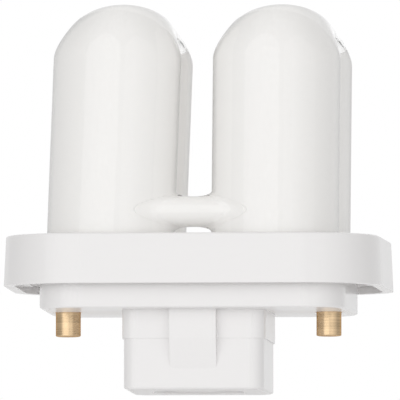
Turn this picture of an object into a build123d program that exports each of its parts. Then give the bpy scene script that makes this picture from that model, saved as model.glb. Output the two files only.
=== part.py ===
from build123d import *
import os
from math import cos, radians, sin, sqrt

# Compact fluorescent bulb with two U tubes and a plug-in cap, in millimetres.
# The origin lies midway between the contact pins, on the face of the cap that seats in a lamp holder.
# +Z runs up to the crowns of the tubes, X runs from pin to pin, and the bridge is on the -Y side.

# Glass tubes
tube_diameter = 11.25
glass_wall = 0.9
row_pitch = 14.5  # between the two U tubes, along X
leg_pitch = 14.5  # between the two legs of one U tube, along Y
crown_above_collar = 64.5
crown_width = 9.2  # the bend is drawn narrower than the legs, across its plane
crown_rise = 3.3  # how far the crown stands above a plain round bend
lean_left = 0.8  # sideways shift of each crown, towards +X
lean_right = 0.2
bend_sections = 9

# Clear bridge between the two front legs
bridge_diameter = 8.4
bridge_flare = 1.4  # round where the bridge runs into each leg
bridge_above_collar = 6.5

# Foot of each leg
front_foot_below_collar = 9.1
seal_shoulder_below_collar = 5.8
seal_shoulder_length = 3.5
seal_width = 10.0
seal_thickness = 3.0
seal_length = 3.5
exhaust_tip_diameter = 3.0
exhaust_tip_length = 2.4

# Collar, the upper moulding
tube_to_collar_side = 3.825  # from the glass to the foot of the collar's wall
tube_to_collar_front = 1.225
collar_height = 13.9
collar_corner = 7.2
collar_draft = 0.9
collar_edge = 0.7
collar_plate = 1.4
collar_wall = 1.5
rim_wall = 0.95
tube_clearance = 0.15
sleeve_wall = 0.7
sleeve_length = 3.0
latch_width = 5.0
latch_depth = 0.5
latch_height = 0.9

# Cement round the legs
cement_thickness = 0.5
cement_length = 2.0

# Base housing, the lower moulding
pin_to_body_side = 0.9
body_step = 3.1  # how far the front of the skirt stands out from the body
body_height = 6.4
body_corner = 3.6
body_edge = 0.5
body_wall = 1.0
floor_thickness = 2.5
recess_depth = 2.0  # from the rim of the skirt up to the flange
flange_thickness = 1.2
flange_clearance = 0.1

# Centre post
post_width = 12.4
post_depth = 13.8
post_length = 22.0
post_corner = 1.3
post_inner_corner = 0.65
post_edge = 0.6
post_wall = 1.2
shoulder_step = 0.14  # the top of the post is this much wider on each side
shoulder_length = 8.0
key_width = 4.1
key_projection = 1.0
key_flat = 7.9
key_ramp = 8.4
key_corner = 0.8
end_recess_diameter = 8.0
end_recess_depth = 0.6

# Contact pins
pin_spacing = 23.0
pin_diameter = 2.2
pin_length = 6.7
pin_bore = 1.2
pin_bore_depth = 4.0  # from the inner end of the pin, where the wire goes in
pin_tip_edge = 0.35
pin_root = 5.5  # height inside the housing
pin_root_diameter = 2.4  # in the floor of the housing and above it
pin_ring_diameter = 3.0
pin_ring_height = 1.2
pin_ring_above_seat = 1.4
boss_diameter = 4.2
boss_height = 5.0

# Starter parts in the post
starter_clearance = 0.3  # beside the bottle and the capacitor, and between them
bottle_below_seat = 2.0
bottle_above_floor = 1.2
bottle_neck_diameter = 4.4
bottle_neck_length = 3.0
capacitor_width = 7.0
capacitor_thickness = 3.2
capacitor_height = 9.0
capacitor_edge = 0.8
capacitor_below_seat = 5.0
capacitor_lead_pitch = 5.0

# Wires
wire_diameter = 0.5
wire_bend = 0.9
wire_half_pitch = 2.4  # from the axis of a leg to each of its two wires
starter_wire_half_pitch = 1.2
wire_level = 6.6  # height at which the wires cross the housing
cathode_above_collar = 5.0
cathode_diameter = 1.2
cathode_edge = 0.3
solder_gap = 0.05

# Heights, radii and places worked out from the sizes above
collar_width = row_pitch + tube_diameter + 2 * tube_to_collar_side
collar_depth = leg_pitch + tube_diameter + 2 * tube_to_collar_front
body_width = pin_spacing + pin_diameter + 2 * pin_to_body_side
body_depth = collar_depth - 2 * body_step
post_inner_width = post_width - 2 * post_wall
post_inner_depth = post_depth - 2 * post_wall
post_floor = -post_length + end_recess_depth + post_wall
capacitor_offset = post_inner_depth / 2 - starter_clearance - capacitor_thickness / 2
bottle_diameter = post_inner_depth - capacitor_thickness - 3 * starter_clearance
bottle_offset = -post_inner_depth / 2 + starter_clearance + bottle_diameter / 2
bottle_top = -bottle_below_seat
bottle_bottom = post_floor + bottle_above_floor
collar_top = body_height + collar_height
crown_top = collar_top + crown_above_collar
tube_radius = tube_diameter / 2
bend_radius = leg_pitch / 2
bend_level = crown_top - bend_radius - tube_radius - crown_rise
bridge_level = collar_top + bridge_above_collar
plate_bottom = collar_top - collar_plate
flange_bottom = body_height + recess_depth
flange_top = flange_bottom + flange_thickness
front_foot = collar_top - front_foot_below_collar
seal_shoulder = collar_top - seal_shoulder_below_collar
seal_top = seal_shoulder - seal_shoulder_length
seal_bottom = seal_top - seal_length
cathode_level = collar_top + cathode_above_collar
pin_x = pin_spacing / 2
pin_bore_end = pin_root - pin_bore_depth
sides = {"left": -1, "right": 1}
lean = {"left": lean_left, "right": lean_right}
rows = {"front": -1, "rear": 1}


def leg_x(side, height):
    """X of a tube's axis at a height: upright in the collar, leaning evenly above it."""
    above = max(0.0, height - collar_top)
    return sides[side] * row_pitch / 2 + lean[side] * above / crown_above_collar


def bend_plane(side, angle):
    """Plane across the tube at an angle round the bend, 0 at the front leg and 180 at the rear leg."""
    across = Vector(0, -cos(radians(angle)), sin(radians(angle)))
    height = bend_level + bend_radius * across.Z
    return Plane(
        origin=(leg_x(side, height), bend_radius * across.Y, height),
        x_dir=(1, 0, 0),
        z_dir=Vector(1, 0, 0).cross(across),
    )


def bend_sizes(angle, inset):
    """Half-width, outer and inner radius of the egg-shaped section at an angle round the bend."""
    rise = sin(radians(angle)) ** 2
    half_width = tube_radius - (tube_diameter - crown_width) / 2 * rise - inset
    outer_y = bend_radius + tube_radius
    outer_z = outer_y + crown_rise
    reach = 1 / sqrt((cos(radians(angle)) / outer_y) ** 2 + (sin(radians(angle)) / outer_z) ** 2)
    return half_width, reach - bend_radius - inset, tube_radius - inset


def add_u_tube(side, inset, mode):
    """One U tube as a solid, smaller by the inset all round: two legs and the bend that joins them."""
    for row in rows.values():
        foot = seal_shoulder if row > 0 else front_foot + tube_radius
        leg_place = (leg_x(side, collar_top), row * leg_pitch / 2)
        with BuildSketch(Plane.XY.offset(foot)) as upright:
            with Locations(leg_place):
                Circle(tube_radius - inset)
        extrude(upright.sketch, amount=collar_top - foot, mode=mode)
        with BuildSketch(Plane.XY.offset(collar_top)) as leg_start:
            with Locations(leg_place):
                Circle(tube_radius - inset)
        with BuildSketch(Plane.XY.offset(bend_level)) as leg_end:
            with Locations((leg_x(side, bend_level), row * leg_pitch / 2)):
                Circle(tube_radius - inset)
        loft([leg_start.sketch, leg_end.sketch], mode=mode)
    bend = []
    for section in range(bend_sections):
        angle = 180 * section / (bend_sections - 1)
        half_width, outer, inner = bend_sizes(angle, inset)
        with BuildSketch(bend_plane(side, angle)) as egg:
            with BuildLine():
                EllipticalCenterArc((0, 0), half_width, outer, start_angle=0, arc_size=180)
                EllipticalCenterArc((0, 0), half_width, inner, start_angle=180, arc_size=180)
            make_face()
        bend.append(egg.sketch)
    loft(bend, mode=mode)


def add_front_foot(side, inset, mode):
    """Round closed end of a front leg."""
    with Locations((leg_x(side, 0), -leg_pitch / 2, front_foot + tube_radius)):
        Sphere(tube_radius - inset, mode=mode)


def add_seal_shoulder(side, inset, mode):
    """Taper from a rear leg down to its pressed seal."""
    place = (leg_x(side, 0), leg_pitch / 2)
    with BuildSketch(Plane.XY.offset(seal_shoulder)) as round_end:
        with Locations(place):
            Circle(tube_radius - inset)
    with BuildSketch(Plane.XY.offset(seal_top + inset)) as flat_end:
        with Locations(place):
            Ellipse(seal_width / 2 - inset, seal_thickness / 2 - inset)
    loft([round_end.sketch, flat_end.sketch], mode=mode)


def wire_start(side, outward):
    """X and Y of a lead-in wire in the seal: outward is 1 for the wire to the pin and -1 for the inner one."""
    return leg_x(side, 0) + outward * sides[side] * wire_half_pitch, leg_pitch / 2


# Glass burner: both U tubes, their bridge, the feet and the seals, blown and fused into one hollow piece
with BuildPart() as glass_burner:
    for side in sides:
        add_u_tube(side, 0, Mode.ADD)
        add_front_foot(side, 0, Mode.ADD)
        add_seal_shoulder(side, 0, Mode.ADD)
        with BuildSketch(Plane.XY.offset(seal_bottom)):
            with Locations((leg_x(side, 0), leg_pitch / 2)):
                SlotOverall(seal_width, seal_thickness)
        extrude(amount=seal_top - seal_bottom)
    with BuildSketch(Plane.YZ.offset(-row_pitch / 2)):
        with Locations((-leg_pitch / 2, bridge_level)):
            Circle(bridge_diameter / 2)
    extrude(amount=row_pitch)
    bridge_joins = glass_burner.edges(Select.LAST).filter_by(GeomType.LINE, reverse=True)
    fillet(bridge_joins, bridge_flare)
    tip_frame = Plane((leg_x("left", 0), -leg_pitch / 2, front_foot + glass_wall / 2), z_dir=(0, 0, -1))
    with BuildSketch(tip_frame):
        Circle(exhaust_tip_diameter / 2)
    extrude(amount=exhaust_tip_length, taper=20)
    for side in sides:
        add_u_tube(side, glass_wall, Mode.SUBTRACT)
        add_front_foot(side, glass_wall, Mode.SUBTRACT)
        add_seal_shoulder(side, glass_wall, Mode.SUBTRACT)
        for outward in (-1, 1):
            with BuildSketch(Plane.XY.offset(seal_bottom)):
                with Locations(wire_start(side, outward)):
                    Circle(wire_diameter / 2)
            extrude(amount=seal_shoulder - seal_bottom, mode=Mode.SUBTRACT)
    with BuildSketch(Plane.YZ.offset(-row_pitch / 2)):
        with Locations((-leg_pitch / 2, bridge_level)):
            Circle(bridge_diameter / 2 - glass_wall)
    extrude(amount=row_pitch, mode=Mode.SUBTRACT)
glass_burner.part.label = "glass_burner"

# Hollow of the collar above the flange, with a sleeve left standing round each tube hole
with BuildPart() as collar_hollow:
    with BuildSketch(Plane.XY.offset(flange_top)):
        RectangleRounded(
            collar_width - 2 * collar_wall,
            collar_depth - 2 * collar_wall,
            collar_corner - collar_wall,
        )
    extrude(amount=plate_bottom - flange_top, taper=collar_draft)
    with BuildSketch(Plane.XY.offset(plate_bottom - sleeve_length)):
        with GridLocations(row_pitch, leg_pitch, 2, 2):
            Circle(tube_radius + cement_thickness + sleeve_wall)
    extrude(amount=sleeve_length, mode=Mode.SUBTRACT)

# Collar: skirt open below, top plate with the four tube holes, latches under the flange
with BuildPart() as collar:
    with BuildSketch(Plane.XY.offset(body_height)):
        RectangleRounded(collar_width, collar_depth, collar_corner)
    extrude(amount=collar_height, taper=collar_draft)
    fillet(collar.faces().sort_by(Axis.Z)[-1].edges(), collar_edge)
    with BuildSketch(Plane.XY.offset(body_height)):
        RectangleRounded(collar_width - 2 * rim_wall, collar_depth - 2 * rim_wall, collar_corner - rim_wall)
    extrude(amount=flange_top - body_height, taper=collar_draft, mode=Mode.SUBTRACT)
    add(collar_hollow.part, mode=Mode.SUBTRACT)
    with BuildSketch(Plane.XY.offset(flange_top)):
        with GridLocations(row_pitch, leg_pitch, 2, 2):
            Circle(tube_radius + cement_thickness)
    extrude(amount=plate_bottom - flange_top, mode=Mode.SUBTRACT)
    with BuildSketch(Plane.XY.offset(plate_bottom)):
        with GridLocations(row_pitch, leg_pitch, 2, 2):
            Circle(tube_radius + tube_clearance)
    extrude(amount=collar_plate, mode=Mode.SUBTRACT)
    with BuildSketch(Plane.XY.offset(flange_bottom - latch_height)):
        with GridLocations(collar_width - 2 * rim_wall - latch_depth, 0, 2, 1):
            Rectangle(latch_depth + rim_wall, latch_width)
    extrude(amount=latch_height)
collar.part.label = "collar"

# Cement that holds each leg in its sleeve
cement_rings = {}
for row_name, row in rows.items():
    for side_name, side in sides.items():
        with BuildPart() as leg_cement:
            with BuildSketch(Plane.XY.offset(plate_bottom - cement_length)):
                with Locations((side * row_pitch / 2, row * leg_pitch / 2)):
                    Circle(tube_radius + cement_thickness)
                    Circle(tube_radius, mode=Mode.SUBTRACT)
            extrude(amount=cement_length)
        leg_cement.part.label = f"leg_cement_{row_name}_{side_name}"
        cement_rings[leg_cement.part.label] = leg_cement.part


def add_pin_outline():
    """Half outline of a pin as a closed face beside the pin's own axis, in its XZ plane."""
    radius = pin_diameter / 2
    root_radius = pin_root_diameter / 2
    ring_bottom = pin_ring_above_seat
    ring_top = pin_ring_above_seat + pin_ring_height
    with BuildLine() as outline:
        Polyline(
            (0, -pin_length),
            (radius, -pin_length),
            (radius, 0),
            (root_radius, 0),
            (root_radius, ring_bottom),
            (pin_ring_diameter / 2, ring_bottom),
            (pin_ring_diameter / 2, ring_top),
            (root_radius, ring_top),
            (root_radius, pin_root),
            (0, pin_root),
            close=True,
        )
    make_face(outline.edges())


# Contact pins: turned brass with a rounded tip, a ring that anchors them in the floor and a bore for the wire
pins = {}
for side_name, side in sides.items():
    pin_plane = Plane((side * pin_x, 0, 0), x_dir=(1, 0, 0), z_dir=(0, -1, 0))
    with BuildPart() as contact_pin:
        with BuildSketch(pin_plane):
            add_pin_outline()
        revolve(axis=Axis((side * pin_x, 0, 0), (0, 0, 1)))
        tip_edges = contact_pin.edges().filter_by(GeomType.CIRCLE).group_by(Axis.Z)[0]
        fillet(tip_edges, pin_tip_edge)
        with BuildSketch(Plane.XY.offset(pin_bore_end)):
            with Locations((side * pin_x, 0)):
                Circle(pin_bore / 2)
        extrude(amount=pin_bore_depth, mode=Mode.SUBTRACT)
    contact_pin.part.label = f"contact_pin_{side_name}"
    pins[side_name] = contact_pin.part

# Hollow of the lower body and the post, with a boss left standing round each pin
with BuildPart() as base_hollow:
    with BuildSketch(Plane.XY.offset(floor_thickness)):
        RectangleRounded(body_width - 2 * body_wall, body_depth - 2 * body_wall, body_corner - body_wall)
    extrude(amount=flange_top - floor_thickness)
    with BuildSketch(Plane.XY.offset(floor_thickness)):
        with GridLocations(pin_spacing, 0, 2, 1):
            Circle(boss_diameter / 2)
    extrude(amount=boss_height - floor_thickness, mode=Mode.SUBTRACT)
    with BuildSketch(Plane.XY.offset(post_floor)):
        RectangleRounded(post_inner_width, post_inner_depth, post_inner_corner)
    extrude(amount=floor_thickness - post_floor)

# Keys on the front and back of the post: flat above, then a ramp down to the post's face
key_depth = post_depth / 2 + key_projection
with BuildPart() as post_keys:
    with BuildSketch(Plane.XZ) as key_front:
        with Locations((0, -(key_flat + key_ramp) / 2)):
            Rectangle(key_width, key_flat + key_ramp)
        fillet(key_front.vertices().group_by(Axis.Y)[0], key_corner)
    extrude(amount=key_depth, both=True)
    with BuildSketch(Plane.YZ.offset(-key_width / 2)):
        with BuildLine():
            Polyline(
                (-key_depth, 0),
                (key_depth, 0),
                (key_depth, -key_flat),
                (post_depth / 2, -key_flat - key_ramp),
                (-post_depth / 2, -key_flat - key_ramp),
                (-key_depth, -key_flat),
                close=True,
            )
        make_face()
    extrude(amount=key_width, mode=Mode.INTERSECT)

# Base housing: flange in the skirt, stepped body, floor with the pin holes, centre post with its keys
with BuildPart() as base_housing:
    with BuildSketch(Plane.XY):
        RectangleRounded(body_width, body_depth, body_corner)
    extrude(amount=flange_bottom)
    fillet(base_housing.faces().sort_by(Axis.Z)[0].edges(), body_edge)
    with BuildSketch(Plane.XY.offset(flange_bottom)):
        RectangleRounded(
            collar_width - 2 * (rim_wall + flange_clearance),
            collar_depth - 2 * (rim_wall + flange_clearance),
            collar_corner - rim_wall - flange_clearance,
        )
    extrude(amount=flange_thickness, taper=collar_draft)
    with BuildSketch(Plane.XY.offset(-post_length)):
        RectangleRounded(post_width, post_depth, post_corner)
    extrude(amount=post_length)
    fillet(base_housing.faces().sort_by(Axis.Z)[0].edges(), post_edge)
    with BuildSketch(Plane.XY.offset(-shoulder_length)):
        RectangleRounded(post_width + 2 * shoulder_step, post_depth + 2 * shoulder_step, post_corner)
    extrude(amount=shoulder_length)
    add(post_keys.part)
    with BuildSketch(Plane.XY.offset(-post_length)):
        Circle(end_recess_diameter / 2)
    extrude(amount=end_recess_depth, mode=Mode.SUBTRACT)
    add(base_hollow.part, mode=Mode.SUBTRACT)
    for side in sides.values():
        with BuildSketch(Plane((side * pin_x, 0, 0), x_dir=(1, 0, 0), z_dir=(0, -1, 0))):
            add_pin_outline()
        revolve(axis=Axis((side * pin_x, 0, 0), (0, 0, 1)), mode=Mode.SUBTRACT)
base_housing.part.label = "base_housing"

# Starter bottle: one sealed glow bulb with a pressed neck
with BuildPart() as starter_bulb:
    with BuildSketch(Plane.XZ.offset(-bottle_offset)):
        with BuildLine():
            neck = (bottle_neck_diameter / 2, bottle_top - bottle_neck_length)
            wall_top = (bottle_diameter / 2, neck[1] - bottle_diameter / 4)
            wall_bottom = (bottle_diameter / 2, bottle_bottom + bottle_diameter / 2)
            Polyline((0, bottle_top), (bottle_neck_diameter / 2, bottle_top), neck)
            TangentArc(wall_top, neck, tangent=(0, 1))
            Line(wall_top, wall_bottom)
            RadiusArc(wall_bottom, (0, bottle_bottom), bottle_diameter / 2)
            Line((0, bottle_bottom), (0, bottle_top))
        make_face()
    revolve(axis=Axis((0, bottle_offset, 0), (0, 0, 1)))
starter_bulb.part.label = "starter_bulb"

# Capacitor beside the bottle
capacitor_top = -capacitor_below_seat
with BuildPart() as capacitor:
    with BuildSketch(Plane.XY.offset(capacitor_top - capacitor_height)):
        with Locations((0, capacitor_offset)):
            RectangleRounded(capacitor_width, capacitor_thickness, capacitor_edge)
    extrude(amount=capacitor_height)
    fillet(capacitor.faces().filter_by(Axis.Z).edges(), capacitor_edge / 2)
capacitor.part.label = "capacitor"


def add_wire(points):
    """Round wire swept along straight runs with equal bends, starting at the first point."""
    with BuildLine() as route:
        FilletPolyline(*points, radius=wire_bend)
    with BuildSketch(Plane(points[0], z_dir=route.line % 0)) as section:
        Circle(wire_diameter / 2)
    sweep(section.sketch, path=route.line)


# Lead-in wires and the capacitor's leads
wires = {}
for side_name, side in sides.items():
    pin_start = wire_start(side_name, 1)
    with BuildPart() as pin_wire:
        add_wire([
            (*pin_start, cathode_level),
            (*pin_start, wire_level),
            (side * pin_x, 0, wire_level),
            (side * pin_x, 0, pin_bore_end),
        ])
    pin_wire.part.label = f"pin_wire_{side_name}"
    wires[pin_wire.part.label] = pin_wire.part

    starter_start = wire_start(side_name, -1)
    starter_x = side * starter_wire_half_pitch
    with BuildPart() as starter_wire:
        add_wire([
            (*starter_start, cathode_level),
            (*starter_start, wire_level),
            (starter_x, bottle_offset, wire_level),
            (starter_x, bottle_offset, bottle_top),
        ])
    starter_wire.part.label = f"starter_wire_{side_name}"
    wires[starter_wire.part.label] = starter_wire.part

    lead_x = side * capacitor_lead_pitch / 2
    lead_level = floor_thickness
    lead_end = bottle_offset + wire_diameter + solder_gap
    with BuildPart() as capacitor_lead:
        add_wire([
            (lead_x, capacitor_offset, capacitor_top),
            (lead_x, capacitor_offset, lead_level),
            (starter_x, lead_end, lead_level),
        ])
    capacitor_lead.part.label = f"capacitor_lead_{side_name}"
    wires[capacitor_lead.part.label] = capacitor_lead.part

# Cathodes: the coated coil across the tops of the two wires in each rear leg, as a rod of its outer diameter
cathodes = {}
for side_name in sides:
    outer_x = wire_start(side_name, 1)[0]
    inner_x = wire_start(side_name, -1)[0]
    start_x = min(outer_x, inner_x) - wire_diameter
    rod_length = 2 * wire_half_pitch + 2 * wire_diameter
    with BuildPart() as cathode:
        with BuildSketch(Plane((start_x, leg_pitch / 2, cathode_level + cathode_diameter / 2), z_dir=(1, 0, 0))):
            Circle(cathode_diameter / 2)
        extrude(amount=rod_length)
        fillet(cathode.edges().filter_by(GeomType.CIRCLE), cathode_edge)
    cathode.part.label = f"cathode_{side_name}"
    cathodes[cathode.part.label] = cathode.part

os.makedirs("parts", exist_ok=True)
export_step(glass_burner.part, "parts/glass_burner.step")
export_step(collar.part, "parts/collar.step")
export_step(base_housing.part, "parts/base_housing.step")
export_step(starter_bulb.part, "parts/starter_bulb.step")
export_step(capacitor.part, "parts/capacitor.step")
for side_name, pin in pins.items():
    export_step(pin, f"parts/contact_pin_{side_name}.step")
for name, piece in {**cement_rings, **wires, **cathodes}.items():
    export_step(piece, f"parts/{name}.step")
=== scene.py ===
import bmesh
import bpy
import numpy as np
from math import cos, pi, radians, sin, sqrt
from mathutils import Matrix, Vector


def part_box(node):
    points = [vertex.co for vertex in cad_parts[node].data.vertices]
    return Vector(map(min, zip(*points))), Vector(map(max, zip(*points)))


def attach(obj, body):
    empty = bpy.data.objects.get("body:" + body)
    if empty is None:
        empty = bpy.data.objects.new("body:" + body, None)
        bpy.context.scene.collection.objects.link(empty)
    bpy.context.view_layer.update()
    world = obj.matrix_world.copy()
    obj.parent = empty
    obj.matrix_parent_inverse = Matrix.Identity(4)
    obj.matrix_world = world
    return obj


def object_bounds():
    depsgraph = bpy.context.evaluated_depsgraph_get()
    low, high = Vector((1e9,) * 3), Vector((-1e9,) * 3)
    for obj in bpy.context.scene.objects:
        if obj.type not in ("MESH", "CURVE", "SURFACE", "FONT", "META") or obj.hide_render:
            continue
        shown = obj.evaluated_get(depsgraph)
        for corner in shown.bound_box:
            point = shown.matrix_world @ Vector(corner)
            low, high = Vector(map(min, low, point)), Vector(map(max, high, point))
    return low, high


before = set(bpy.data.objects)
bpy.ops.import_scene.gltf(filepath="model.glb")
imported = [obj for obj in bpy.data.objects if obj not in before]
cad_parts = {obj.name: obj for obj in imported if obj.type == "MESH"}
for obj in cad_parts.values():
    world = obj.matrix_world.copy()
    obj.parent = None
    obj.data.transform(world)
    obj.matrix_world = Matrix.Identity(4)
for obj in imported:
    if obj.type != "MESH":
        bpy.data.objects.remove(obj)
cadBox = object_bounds()
mm = 0.001


# Nodes of materials and of the world

# Fill a node's input from a socket, or with a plain value.
def feed(tree, target, source):
    if isinstance(source, bpy.types.NodeSocket):
        tree.links.new(source, target)
    else:
        target.default_value = source


# Result of a Math node on sockets or plain numbers.
def calculate(tree, operation, *sources):
    node = tree.nodes.new("ShaderNodeMath")
    node.operation = operation
    for target, source in zip(node.inputs, sources):
        feed(tree, target, source)
    return node.outputs[0]


# A value between two limits, carried over to two results evenly or by a smooth step, and held beyond them.
def remap(tree, value, limits, results, smooth=False):
    node = tree.nodes.new("ShaderNodeMapRange")
    if smooth:
        node.interpolation_type = "SMOOTHSTEP"
    names = ("Value", "From Min", "From Max", "To Min", "To Max")
    for name, source in zip(names, (value, *limits, *results)):
        feed(tree, node.inputs[name], source)
    return node.outputs["Result"]


# A colour or a direction times a number.
def multiply(tree, vector, factor):
    node = tree.nodes.new("ShaderNodeVectorMath")
    node.operation = "SCALE"
    feed(tree, node.inputs[0], vector)
    feed(tree, node.inputs["Scale"], factor)
    return node.outputs["Vector"]


# New node material with its Principled shader, node tree and Object coordinates.
def materialOf(name):
    mat = bpy.data.materials.new(name)
    mat.use_nodes = True
    tree = mat.node_tree
    shader = tree.nodes["Principled BSDF"]
    coords = tree.nodes.new("ShaderNodeTexCoord")
    return mat, tree, shader, coords.outputs["Object"]


# Send a shader to the surface, and let rays pass through it where the given value is 1.
def letPass(tree, shader, passing):
    clear = tree.nodes.new("ShaderNodeBsdfTransparent")
    mix = tree.nodes.new("ShaderNodeMixShader")
    for target, source in zip(mix.inputs, (passing, shader.outputs[0], clear.outputs[0])):
        tree.links.new(source, target)
    tree.links.new(mix.outputs[0], tree.nodes["Material Output"].inputs["Surface"])


# Camera

cameraSet = {
    "azimuth": 4.0,  # towards +X
    "elevation": -7.5,  # from slightly below
    "distance": 1.0,
    "imageWidth": 35.21 * mm,  # what the photograph shows across
    "imageHeight": 109.3 * mm,  # and from top to bottom: it is stretched sideways
    "orthoScale": 128.0 * mm,
    "aimX": 0.12 * mm,
    "aimHeight": 30.96 * mm,
    "clipStart": 0.01,
    "clipEnd": 20,
}


# Parallel camera whose X and Y axes are tipped towards the view direction.
#
# A unit axis tipped by an angle covers only the cosine of its length across the view, so the picture
# is stretched by the same factor. The tip is held in the parent inverse, so a camera that is
# moved to another view without its parent shows the true proportions.
def buildCamera(s):
    azimuth, elevation = radians(s["azimuth"]), radians(s["elevation"])
    away = Vector((sin(azimuth) * cos(elevation), -cos(azimuth) * cos(elevation), sin(elevation)))
    forward = -away
    right = forward.cross(Vector((0, 0, 1))).normalized()
    up = right.cross(forward)
    shareX = s["imageWidth"] / s["orthoScale"]
    shareY = s["imageHeight"] / s["orthoScale"]
    axisX = right * shareX + forward * sqrt(1 - shareX ** 2)
    axisY = up * shareY + forward * sqrt(1 - shareY ** 2)
    tipped = Matrix((axisX, axisY, away)).transposed().to_4x4()
    tipped.translation = Vector((s["aimX"], 0, s["aimHeight"])) + away * s["distance"]
    data = bpy.data.cameras.new("photoCamera")
    data.type = "ORTHO"
    data.ortho_scale = s["orthoScale"]
    data.clip_start = s["clipStart"]
    data.clip_end = s["clipEnd"]
    cam = bpy.data.objects.new("photoCamera", data)
    stand = bpy.data.objects.new("cameraStand", None)
    bpy.context.scene.collection.objects.link(stand)
    bpy.context.scene.collection.objects.link(cam)
    cam.parent = stand
    cam.matrix_parent_inverse = tipped
    bpy.context.scene.camera = cam


buildCamera(cameraSet)
print("camera placed")


# Studio

studio = {
    "worldLight": 0.865,
    "shares": [  # light from one side: axis, where the change begins and ends along it, share of the rest
        ("X", 0.5, 0.95, 0.55),  # far right
        ("X", -0.5, -0.95, 0.55),  # far left
        ("Z", 0.1, 0.9, 0.82),  # above
        ("Z", -0.1, -0.7, 1.02),  # below
    ],
    "floorSize": 4.0,
    "floorLevel": cadBox[0][2] - 0.2 * mm,
    "floorColour": (0.95, 0.95, 0.95, 1),
    "floorRoughness": 0.9,
    "floorFade": (0.02, 0.2),  # from here to here, in metres, the floor gives way to the white surroundings
    "lamps": [  # place in metres, size, power
        ((-0.6, -1.4, 0.45), 2.0, 5.8),
        ((1.0, -0.9, 0.3), 1.6, 1.6),
        ((0.1, 1.1, 0.9), 1.6, 2.0),
    ],
    "lampAim": Vector((0, 0, cameraSet["aimHeight"])),
}


# Surroundings that look white to the camera and through glass, and light the bulb by their shares.
def buildWorld(s):
    world = bpy.data.worlds.new("whiteStudio")
    world.use_nodes = True
    tree = world.node_tree
    back = tree.nodes["Background"]
    back.inputs["Color"].default_value = (1, 1, 1, 1)
    coords = tree.nodes.new("ShaderNodeTexCoord")
    towards = tree.nodes.new("ShaderNodeSeparateXYZ")
    tree.links.new(coords.outputs["Generated"], towards.inputs[0])
    light = s["worldLight"]
    for axis, begins, ends, share in s["shares"]:
        part = remap(tree, towards.outputs[axis], (begins, ends), (1, share), smooth=True)
        light = calculate(tree, "MULTIPLY", light, part)
    path = tree.nodes.new("ShaderNodeLightPath")
    seen = calculate(tree, "MAXIMUM", path.outputs["Is Camera Ray"], path.outputs["Is Transmission Ray"])
    tree.links.new(remap(tree, seen, (0, 1), (light, 1)), back.inputs["Strength"])
    bpy.context.scene.world = world


# Pale floor that is see-through from below, far away, and to the light that reaches the bulb.
def buildFloor(s):
    half = s["floorSize"] / 2
    corners = [(x * half, y * half, s["floorLevel"]) for x, y in ((-1, -1), (1, -1), (1, 1), (-1, 1))]
    mesh = bpy.data.meshes.new("floor")
    mesh.from_pydata(corners, [], [(0, 1, 2, 3)])
    floor = bpy.data.objects.new("floor", mesh)
    bpy.context.scene.collection.objects.link(floor)
    mat, tree, shader, coords = materialOf("paleFloor")
    shader.inputs["Base Color"].default_value = s["floorColour"]
    shader.inputs["Roughness"].default_value = s["floorRoughness"]
    away = tree.nodes.new("ShaderNodeVectorMath")
    away.operation = "LENGTH"
    tree.links.new(coords, away.inputs[0])
    path = tree.nodes.new("ShaderNodeLightPath")
    side = tree.nodes.new("ShaderNodeNewGeometry")
    passing = remap(tree, away.outputs["Value"], s["floorFade"], (0, 1), smooth=True)
    for also in (path.outputs["Is Diffuse Ray"], path.outputs["Is Shadow Ray"], side.outputs["Backfacing"]):
        passing = calculate(tree, "MAXIMUM", passing, also)
    letPass(tree, shader, passing)
    mesh.materials.append(mat)


# Soft round lamps.
def buildLamps(s):
    for number, (place, size, power) in enumerate(s["lamps"]):
        data = bpy.data.lights.new(f"softLamp{number}", "AREA")
        data.shape = "DISK"
        data.size = size
        data.energy = power
        lamp = bpy.data.objects.new(data.name, data)
        lamp.location = place
        lamp.rotation_euler = (s["lampAim"] - Vector(place)).to_track_quat("-Z", "Y").to_euler()
        bpy.context.scene.collection.objects.link(lamp)


bpy.context.scene.view_settings.view_transform = "Standard"
buildWorld(studio)
buildFloor(studio)
buildLamps(studio)
print("studio ready")


# Shared grain

grainSet = {
    "detail": 4,
    "relief": 0.05 * mm,
}


# Noise with a tint and a height: the colour is multiplied by 1 at the top of the noise and by 1 less Tint at
# its bottom, and Height sets how much of the relief shows. Scale is in waves per metre.
def fineGrainGroup(s):
    group = bpy.data.node_groups.new("fineGrain", "ShaderNodeTree")
    for name, direction, kind in (
            ("Vector", "INPUT", "NodeSocketVector"), ("Colour", "INPUT", "NodeSocketColor"),
            ("Scale", "INPUT", "NodeSocketFloat"), ("Tint", "INPUT", "NodeSocketFloat"),
            ("Height", "INPUT", "NodeSocketFloat"), ("Colour", "OUTPUT", "NodeSocketColor"),
            ("Normal", "OUTPUT", "NodeSocketVector"), ("Grain", "OUTPUT", "NodeSocketFloat")):
        group.interface.new_socket(name, in_out=direction, socket_type=kind)
    inside = group.nodes.new("NodeGroupInput")
    outside = group.nodes.new("NodeGroupOutput")
    noise = group.nodes.new("ShaderNodeTexNoise")
    noise.inputs["Detail"].default_value = s["detail"]
    for name in ("Vector", "Scale"):
        group.links.new(inside.outputs[name], noise.inputs[name])
    lowest = calculate(group, "SUBTRACT", 1, inside.outputs["Tint"])
    shade = remap(group, noise.outputs["Fac"], (0, 1), (lowest, 1))
    bump = group.nodes.new("ShaderNodeBump")
    bump.inputs["Distance"].default_value = s["relief"]
    group.links.new(inside.outputs["Height"], bump.inputs["Strength"])
    group.links.new(noise.outputs["Fac"], bump.inputs["Height"])
    group.links.new(multiply(group, inside.outputs["Colour"], shade), outside.inputs["Colour"])
    group.links.new(bump.outputs["Normal"], outside.inputs["Normal"])
    group.links.new(noise.outputs["Fac"], outside.inputs["Grain"])
    return group


fineGrain = fineGrainGroup(grainSet)


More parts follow.
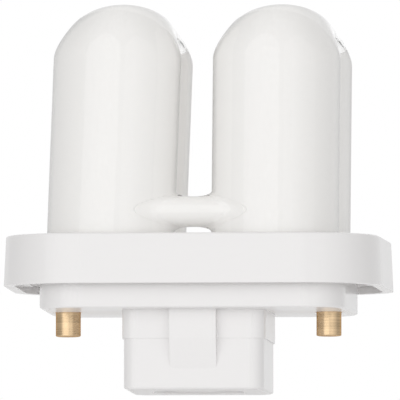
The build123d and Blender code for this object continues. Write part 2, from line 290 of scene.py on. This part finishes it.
# Place the grain group in a material with the material's own values, and return its node.
def addGrain(tree, coords, s):
    node = tree.nodes.new("ShaderNodeGroup")
    node.node_tree = fineGrain
    tree.links.new(coords, node.inputs["Vector"])
    node.inputs["Colour"].default_value = (*s["colour"], 1)
    node.inputs["Scale"].default_value = s["scale"]
    node.inputs["Tint"].default_value = s.get("tint", 0)
    node.inputs["Height"].default_value = s["height"]
    return node


# Opaque materials

solidShared = {
    "glowColour": (1, 0.99, 0.975, 1),  # painted light: a glow that stands in for daylight coming through the thin film
    "coatRoughness": 0.05,
}
solids = {
    "whitePlastic": dict(
        colour=(0.865, 0.852, 0.848), scale=900, tint=0.015, height=0.06, roughness=0.3, coat=0.35),
    # The powder's glow is painted light: emission that stands in for daylight coming through the thin film.
    "whitePowder": dict(
        colour=(0.80, 0.79, 0.775), scale=1400, tint=0.03, height=0.1, roughness=0.9, glow=0.13),
    "dryCement": dict(
        colour=(0.8, 0.77, 0.7), scale=2500, tint=0.25, height=0.7, roughness=0.95),
    "nickelWire": dict(
        colour=(0.66, 0.62, 0.57), scale=3000, tint=0.1, height=0.2, roughness=0.35, metallic=1),
    "tungstenCoil": dict(
        colour=(0.5, 0.5, 0.52), scale=6000, tint=0.15, height=0.3, roughness=0.5, metallic=1),
    "resinCase": dict(
        colour=(0.62, 0.3, 0.08), scale=700, tint=0.12, height=0.15, roughness=0.35, coat=0.4),
}


# Opaque material: colour and bump from the grain group, plain values on the shader.
def solidMaterial(name, s):
    mat, tree, shader, coords = materialOf(name)
    grain = addGrain(tree, coords, s)
    tree.links.new(grain.outputs["Colour"], shader.inputs["Base Color"])
    tree.links.new(grain.outputs["Normal"], shader.inputs["Normal"])
    shader.inputs["Roughness"].default_value = s["roughness"]
    shader.inputs["Metallic"].default_value = s.get("metallic", 0)
    # Emission here is painted light, where a finish has a glow.
    shader.inputs["Emission Color"].default_value = solidShared["glowColour"]
    shader.inputs["Emission Strength"].default_value = s.get("glow", 0)
    shader.inputs["Coat Weight"].default_value = s.get("coat", 0)
    shader.inputs["Coat Roughness"].default_value = solidShared["coatRoughness"]
    return mat


powderEdge = {
    "scale": 1500,
    "spread": 0.5,  # how much the noise adds to the bareness, or takes away
    "thins": (0.3, 0.7),  # from which bareness to which the powder thins out
}


# Makes a film thin out where its bareness attribute rises from 0 to 1, with an edge broken up by noise.
def thinCoating(mat, s):
    tree = mat.node_tree
    bare = tree.nodes.new("ShaderNodeAttribute")
    bare.attribute_name = "bareness"
    coords = tree.nodes.new("ShaderNodeTexCoord")
    noise = tree.nodes.new("ShaderNodeTexNoise")
    noise.inputs["Scale"].default_value = s["scale"]
    tree.links.new(coords.outputs["Object"], noise.inputs["Vector"])
    uneven = remap(tree, noise.outputs["Fac"], (0, 1), (-s["spread"] / 2, s["spread"] / 2))
    both = calculate(tree, "ADD", bare.outputs["Fac"], uneven)
    cover = remap(tree, both, s["thins"], (1, 0), smooth=True)
    tree.links.new(cover, tree.nodes["Principled BSDF"].inputs["Alpha"])


finishes = {name: solidMaterial(name, s) for name, s in solids.items()}
thinCoating(finishes["whitePowder"], powderEdge)


# Glass

glasses = {  # from rimBegins, where 1 is the outline, the glass's colour darkens by the facing angle to the share named last: painted shade at the outline
    "tubeGlass": dict(
        colour=(0.982, 0.98, 0.975), scale=160, height=0.05, ior=1.5, rimBegins=0.55, rimPaintedShade=0.2),
    "bottleGlass": dict(
        colour=(0.95, 0.97, 0.96), scale=200, height=0.1, ior=1.5, rimBegins=0.55, rimPaintedShade=0.2),
}


# Clear glass that lets light through to what lies behind it, so that shadow rays pass. Its colour darkens by
# the facing angle
# towards its outline: painted shade for the dark rims, in part the longer way of light through the wall.
def glassMaterial(name, s):
    mat, tree, shader, coords = materialOf(name)
    grain = addGrain(tree, coords, s)
    # Painted shade: the colour darkens by the facing angle towards the outline.
    slant = tree.nodes.new("ShaderNodeLayerWeight")
    rim = remap(tree, slant.outputs["Facing"], (s["rimBegins"], 1), (1, s["rimPaintedShade"]), smooth=True)
    tree.links.new(multiply(tree, s["colour"], rim), shader.inputs["Base Color"])
    tree.links.new(grain.outputs["Normal"], shader.inputs["Normal"])
    shader.inputs["Roughness"].default_value = 0
    shader.inputs["IOR"].default_value = s["ior"]
    shader.inputs["Transmission Weight"].default_value = 1
    path = tree.nodes.new("ShaderNodeLightPath")
    passing = calculate(tree, "MAXIMUM", path.outputs["Is Shadow Ray"], path.outputs["Is Diffuse Ray"])
    letPass(tree, shader, passing)
    return mat


for name, s in glasses.items():
    finishes[name] = glassMaterial(name, s)


# Brass

pinBrass = {
    "colour": (1.0, 0.74, 0.46),
    "edgeColour": (0.55, 0.36, 0.22),
    "scale": 2600,  # turning rings per metre
    "squash": (0.02, 0.02, 1),  # draws the noise out across the pin, into rings
    "tint": 0.5,
    "height": 0.7,
    "roughness": (0.2, 0.36),
}


# Pale brass with fine rings across the pin, as a lathe leaves them.
def turnedBrass(s):
    mat, tree, shader, coords = materialOf("turnedBrass")
    rings = tree.nodes.new("ShaderNodeMapping")
    rings.inputs["Scale"].default_value = s["squash"]
    tree.links.new(coords, rings.inputs["Vector"])
    grain = addGrain(tree, rings.outputs["Vector"], s)
    tree.links.new(remap(tree, grain.outputs["Grain"], (0, 1), s["roughness"]), shader.inputs["Roughness"])
    tree.links.new(grain.outputs["Colour"], shader.inputs["Base Color"])
    tree.links.new(grain.outputs["Normal"], shader.inputs["Normal"])
    shader.inputs["Metallic"].default_value = 1
    shader.inputs["Specular Tint"].default_value = (*s["edgeColour"], 1)
    return mat


finishes["turnedBrass"] = turnedBrass(pinBrass)
print("materials made")


# Carried-over nodes

nodeFinish = {  # a node takes the first finish whose key begins its name
    "glass_burner": "tubeGlass",
    "collar": "whitePlastic",
    "base_housing": "whitePlastic",
    "contact_pin": "turnedBrass",
    "leg_cement": "dryCement",
    "pin_wire": "nickelWire",
    "starter_wire": "nickelWire",
    "capacitor_lead": "nickelWire",
    "capacitor": "resinCase",
    "cathode": "tungstenCoil",
    "starter_bulb": "bottleGlass",
}
for nodeName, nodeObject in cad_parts.items():
    start = next(start for start in nodeFinish if nodeName.startswith(start))
    for place in nodeObject.material_slots:
        place.material = finishes[nodeFinish[start]]
print("nodes finished")


# White lining of the glass tubes

tube = {
    # The glass, with the sizes of the part's source
    "radius": 5.625 * mm,
    "wall": 0.9 * mm,
    "rowPitch": 14.5 * mm,
    "legPitch": 14.5 * mm,
    "crownHalfWidth": 4.6 * mm,
    "crownRise": 3.3 * mm,
    "lean": {-1: 0.8 * mm, 1: 0.2 * mm},
    "footBelowCollar": 9.1 * mm,
    "shoulderBelowCollar": 5.8 * mm,
    "shoulderLength": 3.5 * mm,
    "sealHalfWidth": 5.0 * mm,
    "sealHalfThickness": 1.5 * mm,
    # The grid
    "around": 128,
    "legStep": 0.5 * mm,
    "footSteps": 14,
    "footTip": 0.02,  # first ring of the foot, in radians from its lowest point
    "bendSteps": 64,
    "shoulderSteps": 12,
    # The film
    "liningSunk": 0.07 * mm,  # the film sits in the glass all round, so it fills the tube to its edge
    "liningThickness": 0.1 * mm,
    "clearFrom": 104.0,  # the part of the bend without a coating, in degrees round it
    "clearTo": 147.0,
    "clearEdge": 4.0,  # over which the coating thins out on each side
    "saddleCoat": (-0.95, -0.6),  # the coating stays on the inner side of the bend
    "openAbove": 0.99,  # bareness above which there is no film at all
}
bridge = {
    "aboveCollar": 6.5 * mm,
    "filmRadius": 3.32 * mm,  # a little more than the bore of 3.3 mm, so the film sits in the glass
    "mouthRadius": 4.3 * mm,
    "flareLength": 1.1 * mm,
    "flareSteps": 16,
    "around": 128,
}
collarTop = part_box("collar")[1][2]
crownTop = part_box("glass_burner")[1][2]
bendRadius = tube["legPitch"] / 2
bendLevel = crownTop - bendRadius - tube["radius"] - tube["crownRise"]
bridgeLevel = collarTop + bridge["aboveCollar"]
liningInset = tube["wall"] - tube["liningSunk"]
liningRadius = tube["radius"] - liningInset


# X of a tube's axis: upright up to the collar's top, then leaning evenly up to the crown.
def legX(side, height):
    above = np.clip(height - collarTop, 0, None) / (crownTop - collarTop)
    return side * tube["rowPitch"] / 2 + tube["lean"][side] * above


# Smooth step from 0 at one value to 1 at another: three times the square of the share less twice its cube.
def easeStep(low, high, value):
    share = np.clip((value - low) / (high - low), 0, 1)
    return share * share * (3 - 2 * share)


# Rings of one stretch of a tube, as rows of (y, z, across y, across z, half-width, outer radius, inner radius,
# degrees round the bend), from columns that are arrays or plain numbers.
def stretch(*columns):
    return np.stack(np.broadcast_arrays(*columns), axis=-1)


# Rings of a U tube's lining, from the front foot over the bend to the seal of the rear leg.
#
# The front foot is a ball: sine and cosine of the turn give its radius and its height. Round the bend the
# half-width shrinks with the square of the sine of the angle, and the outer edge is an ellipse, taller than
# wide: 1 over the length of (cosine over half its width, sine over its height). The rear leg narrows to a
# flat seal by the smooth step.
def liningRings(t):
    r = liningRadius
    footMiddle = collarTop - t["footBelowCollar"] + t["radius"]
    shoulder = collarTop - t["shoulderBelowCollar"]

    turn = np.linspace(t["footTip"], pi / 2, t["footSteps"])
    wide = r * np.sin(turn)
    foot = stretch(-bendRadius, footMiddle - r * np.cos(turn), -1, 0, wide, wide, wide, 0)

    height = np.linspace(footMiddle, bendLevel, int((bendLevel - footMiddle) / t["legStep"]))[1:-1]
    frontLeg = stretch(-bendRadius, height, -1, 0, r, r, r, 0)

    angle = np.linspace(0, 180, t["bendSteps"])
    deep, high = np.cos(np.radians(angle)), np.sin(np.radians(angle))
    outerY = bendRadius + t["radius"]
    outerZ = outerY + t["crownRise"]
    wide = t["radius"] - (t["radius"] - t["crownHalfWidth"]) * high ** 2 - liningInset
    reach = 1 / np.hypot(deep / outerY, high / outerZ) - bendRadius - liningInset
    bend = stretch(-bendRadius * deep, bendLevel + bendRadius * high, -deep, high, wide, reach, r, angle)

    height = np.linspace(bendLevel, shoulder, int((bendLevel - shoulder) / t["legStep"]))[1:]
    rearLeg = stretch(bendRadius, height, 1, 0, r, r, r, 180)

    down = np.linspace(0, 1, t["shoulderSteps"])[1:]
    flatter = easeStep(0, 1, down)
    wide = r + (t["sealHalfWidth"] - liningInset - r) * flatter
    thick = r + (t["sealHalfThickness"] - liningInset - r) * flatter
    height = shoulder - (t["shoulderLength"] - liningInset) * down
    seal = stretch(bendRadius, height, 1, 0, wide, thick, thick, 180)

    return np.concatenate([foot, frontLeg, bend, rearLeg, seal])


# Points of each ring: its centre, plus the cosine of the turn times the half-width along X, plus the sine
# of the turn times the outer radius across, or the inner radius where the sine is below 0.
def ringPoints(side, rows):
    y, z, acrossY, acrossZ, half, outer, inner = rows.T[:7, :, None]
    turn = np.linspace(0, 2 * pi, tube["around"], endpoint=False)[None, :]
    lift = np.sin(turn)
    deep = np.where(lift > 0, lift * outer, lift * inner)
    x = legX(side, z) + np.cos(turn) * half
    return np.stack([x, y + deep * acrossY, z + deep * acrossZ], axis=-1)


# Mesh of rings of points, closed round each ring, and with a middle point at both ends if capped.
def gridMesh(name, points, capped=True, keep=None, bareness=None):
    rings, around = points.shape[:2]
    index = np.arange(rings * around).reshape(rings, around)
    ahead = np.roll(index, -1, axis=1)
    quads = np.stack([index[:-1], ahead[:-1], ahead[1:], index[1:]], axis=-1)
    if keep is not None:
        quads = quads[keep]
    faces = quads.reshape(-1, 4).tolist()
    verts = points.reshape(-1, 3)
    if capped:
        first, last = len(verts), len(verts) + 1
        verts = np.vstack([verts, points[0].mean(axis=0), points[-1].mean(axis=0)])
        faces += np.stack([ahead[0], index[0], np.full(around, first)], axis=-1).tolist()
        faces += np.stack([index[-1], ahead[-1], np.full(around, last)], axis=-1).tolist()
    mesh = bpy.data.meshes.new(name)
    mesh.from_pydata(verts.tolist(), [], faces)
    if bareness is not None:
        values = np.zeros(len(verts), dtype=np.float32)
        values[:bareness.size] = bareness.ravel()
        mesh.attributes.new("bareness", "FLOAT", "POINT").data.foreach_set("value", values)
    mesh.validate()
    outward(mesh)
    piece = bpy.data.objects.new(name, mesh)
    bpy.context.scene.collection.objects.link(piece)
    return piece


# Turn the faces of a mesh outwards, drop loose points and shade it smooth.
def outward(mesh):
    work = bmesh.new()
    work.from_mesh(mesh)
    loose = [vert for vert in work.verts if not vert.link_faces]
    bmesh.ops.delete(work, geom=loose, context="VERTS")
    bmesh.ops.recalc_face_normals(work, faces=work.faces)
    work.to_mesh(mesh)
    work.free()
    mesh.shade_smooth()


# Give a film its thickness and its powder, and add it to the part.
def finishFilm(piece):
    film = piece.modifiers.new("film", "SOLIDIFY")
    film.thickness = tube["liningThickness"]
    film.offset = -1
    piece.data.materials.append(finishes["whitePowder"])
    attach(piece, "root")


# Which faces of a grid of rings have all four corners marked.
def allCorners(marked):
    ahead = np.roll(marked, -1, axis=1)
    return marked[:-1] & ahead[:-1] & ahead[1:] & marked[1:]


# Opens the mouth of the bridge in the lining: points within its circle move out to the rim, along the
# wall of the tube, and faces that lay wholly within it are dropped. Returns which faces stay.
def openMouth(side, points):
    lift = points[..., 2] - bridgeLevel
    across = points[..., 1] + bendRadius
    reach = np.hypot(across, lift)
    rim = bridge["mouthRadius"]
    inward = (points[..., 0] - legX(side, points[..., 2])) * -side > 0
    within = (reach < rim) & inward & (points[..., 1] < 0)
    grow = rim / np.clip(reach[within], 1e-9, None)  # a point in the very middle would divide by zero
    y = across[within] * grow
    z = lift[within] * grow + bridgeLevel
    x = legX(side, z) - side * np.sqrt(liningRadius ** 2 - y ** 2)
    points[within] = np.stack([x, y - bendRadius, z], axis=-1)
    return ~allCorners(within)


# How bare each point of the lining is: 1 on the rear of the bend, 0 elsewhere and on the bend's inner side.
# It is a smooth step up where the clear part begins, times one down where it ends, times one up from the
# inner side of the bend.
def barePart(angle):
    t = tube
    begins = easeStep(t["clearFrom"] - t["clearEdge"], t["clearFrom"] + t["clearEdge"], angle)
    ends = easeStep(t["clearTo"] - t["clearEdge"], t["clearTo"] + t["clearEdge"], angle)
    lift = np.sin(np.linspace(0, 2 * pi, t["around"], endpoint=False))
    return (begins * (1 - ends))[:, None] * easeStep(*t["saddleCoat"], lift)[None, :]


# White film on the inner wall, open at the bridge's mouth and bare on the rear of the bend.
def buildLining(side, word):
    rows = liningRings(tube)
    points = ringPoints(side, rows)
    stays = openMouth(side, points)
    bareness = barePart(rows[:, 7])
    bare = allCorners(bareness > tube["openAbove"])
    finishFilm(gridMesh(f"tubeLining{word}", points, keep=stays & ~bare, bareness=bareness))


# Film inside the bridge: a cylinder about X whose ends flare onto the lining of both tubes. Each flare is
# a curve through three points, from the cylinder over the corner with the tube to the rim of the mouth:
# the square of the share left, twice both shares, and the square of the share gone weigh the three.
def buildBridgeFilm():
    b = bridge
    turn = np.linspace(0, 2 * pi, b["around"], endpoint=False)
    gone = np.linspace(0, 1, b["flareSteps"])[:, None, None]
    left = 1 - gone
    halves = []
    for side in (-1, 1):
        spots = []
        for reach in (b["filmRadius"], b["mouthRadius"]):
            y, z = reach * np.cos(turn), reach * np.sin(turn)
            x = legX(side, bridgeLevel + z) - side * np.sqrt(liningRadius ** 2 - y ** 2)
            spots.append(np.stack([x, y - bendRadius, bridgeLevel + z], axis=-1))
        corner, rim = spots
        begin = corner - np.array([side * b["flareLength"], 0, 0])
        halves.append(left ** 2 * begin + 2 * gone * left * corner + gone ** 2 * rim)
    finishFilm(gridMesh("bridgeFilm", np.concatenate([halves[0][::-1], halves[1]]), capped=False))


for side, word in ((-1, "Left"), (1, "Right")):
    buildLining(side, word)
buildBridgeFilm()
print("lining built")
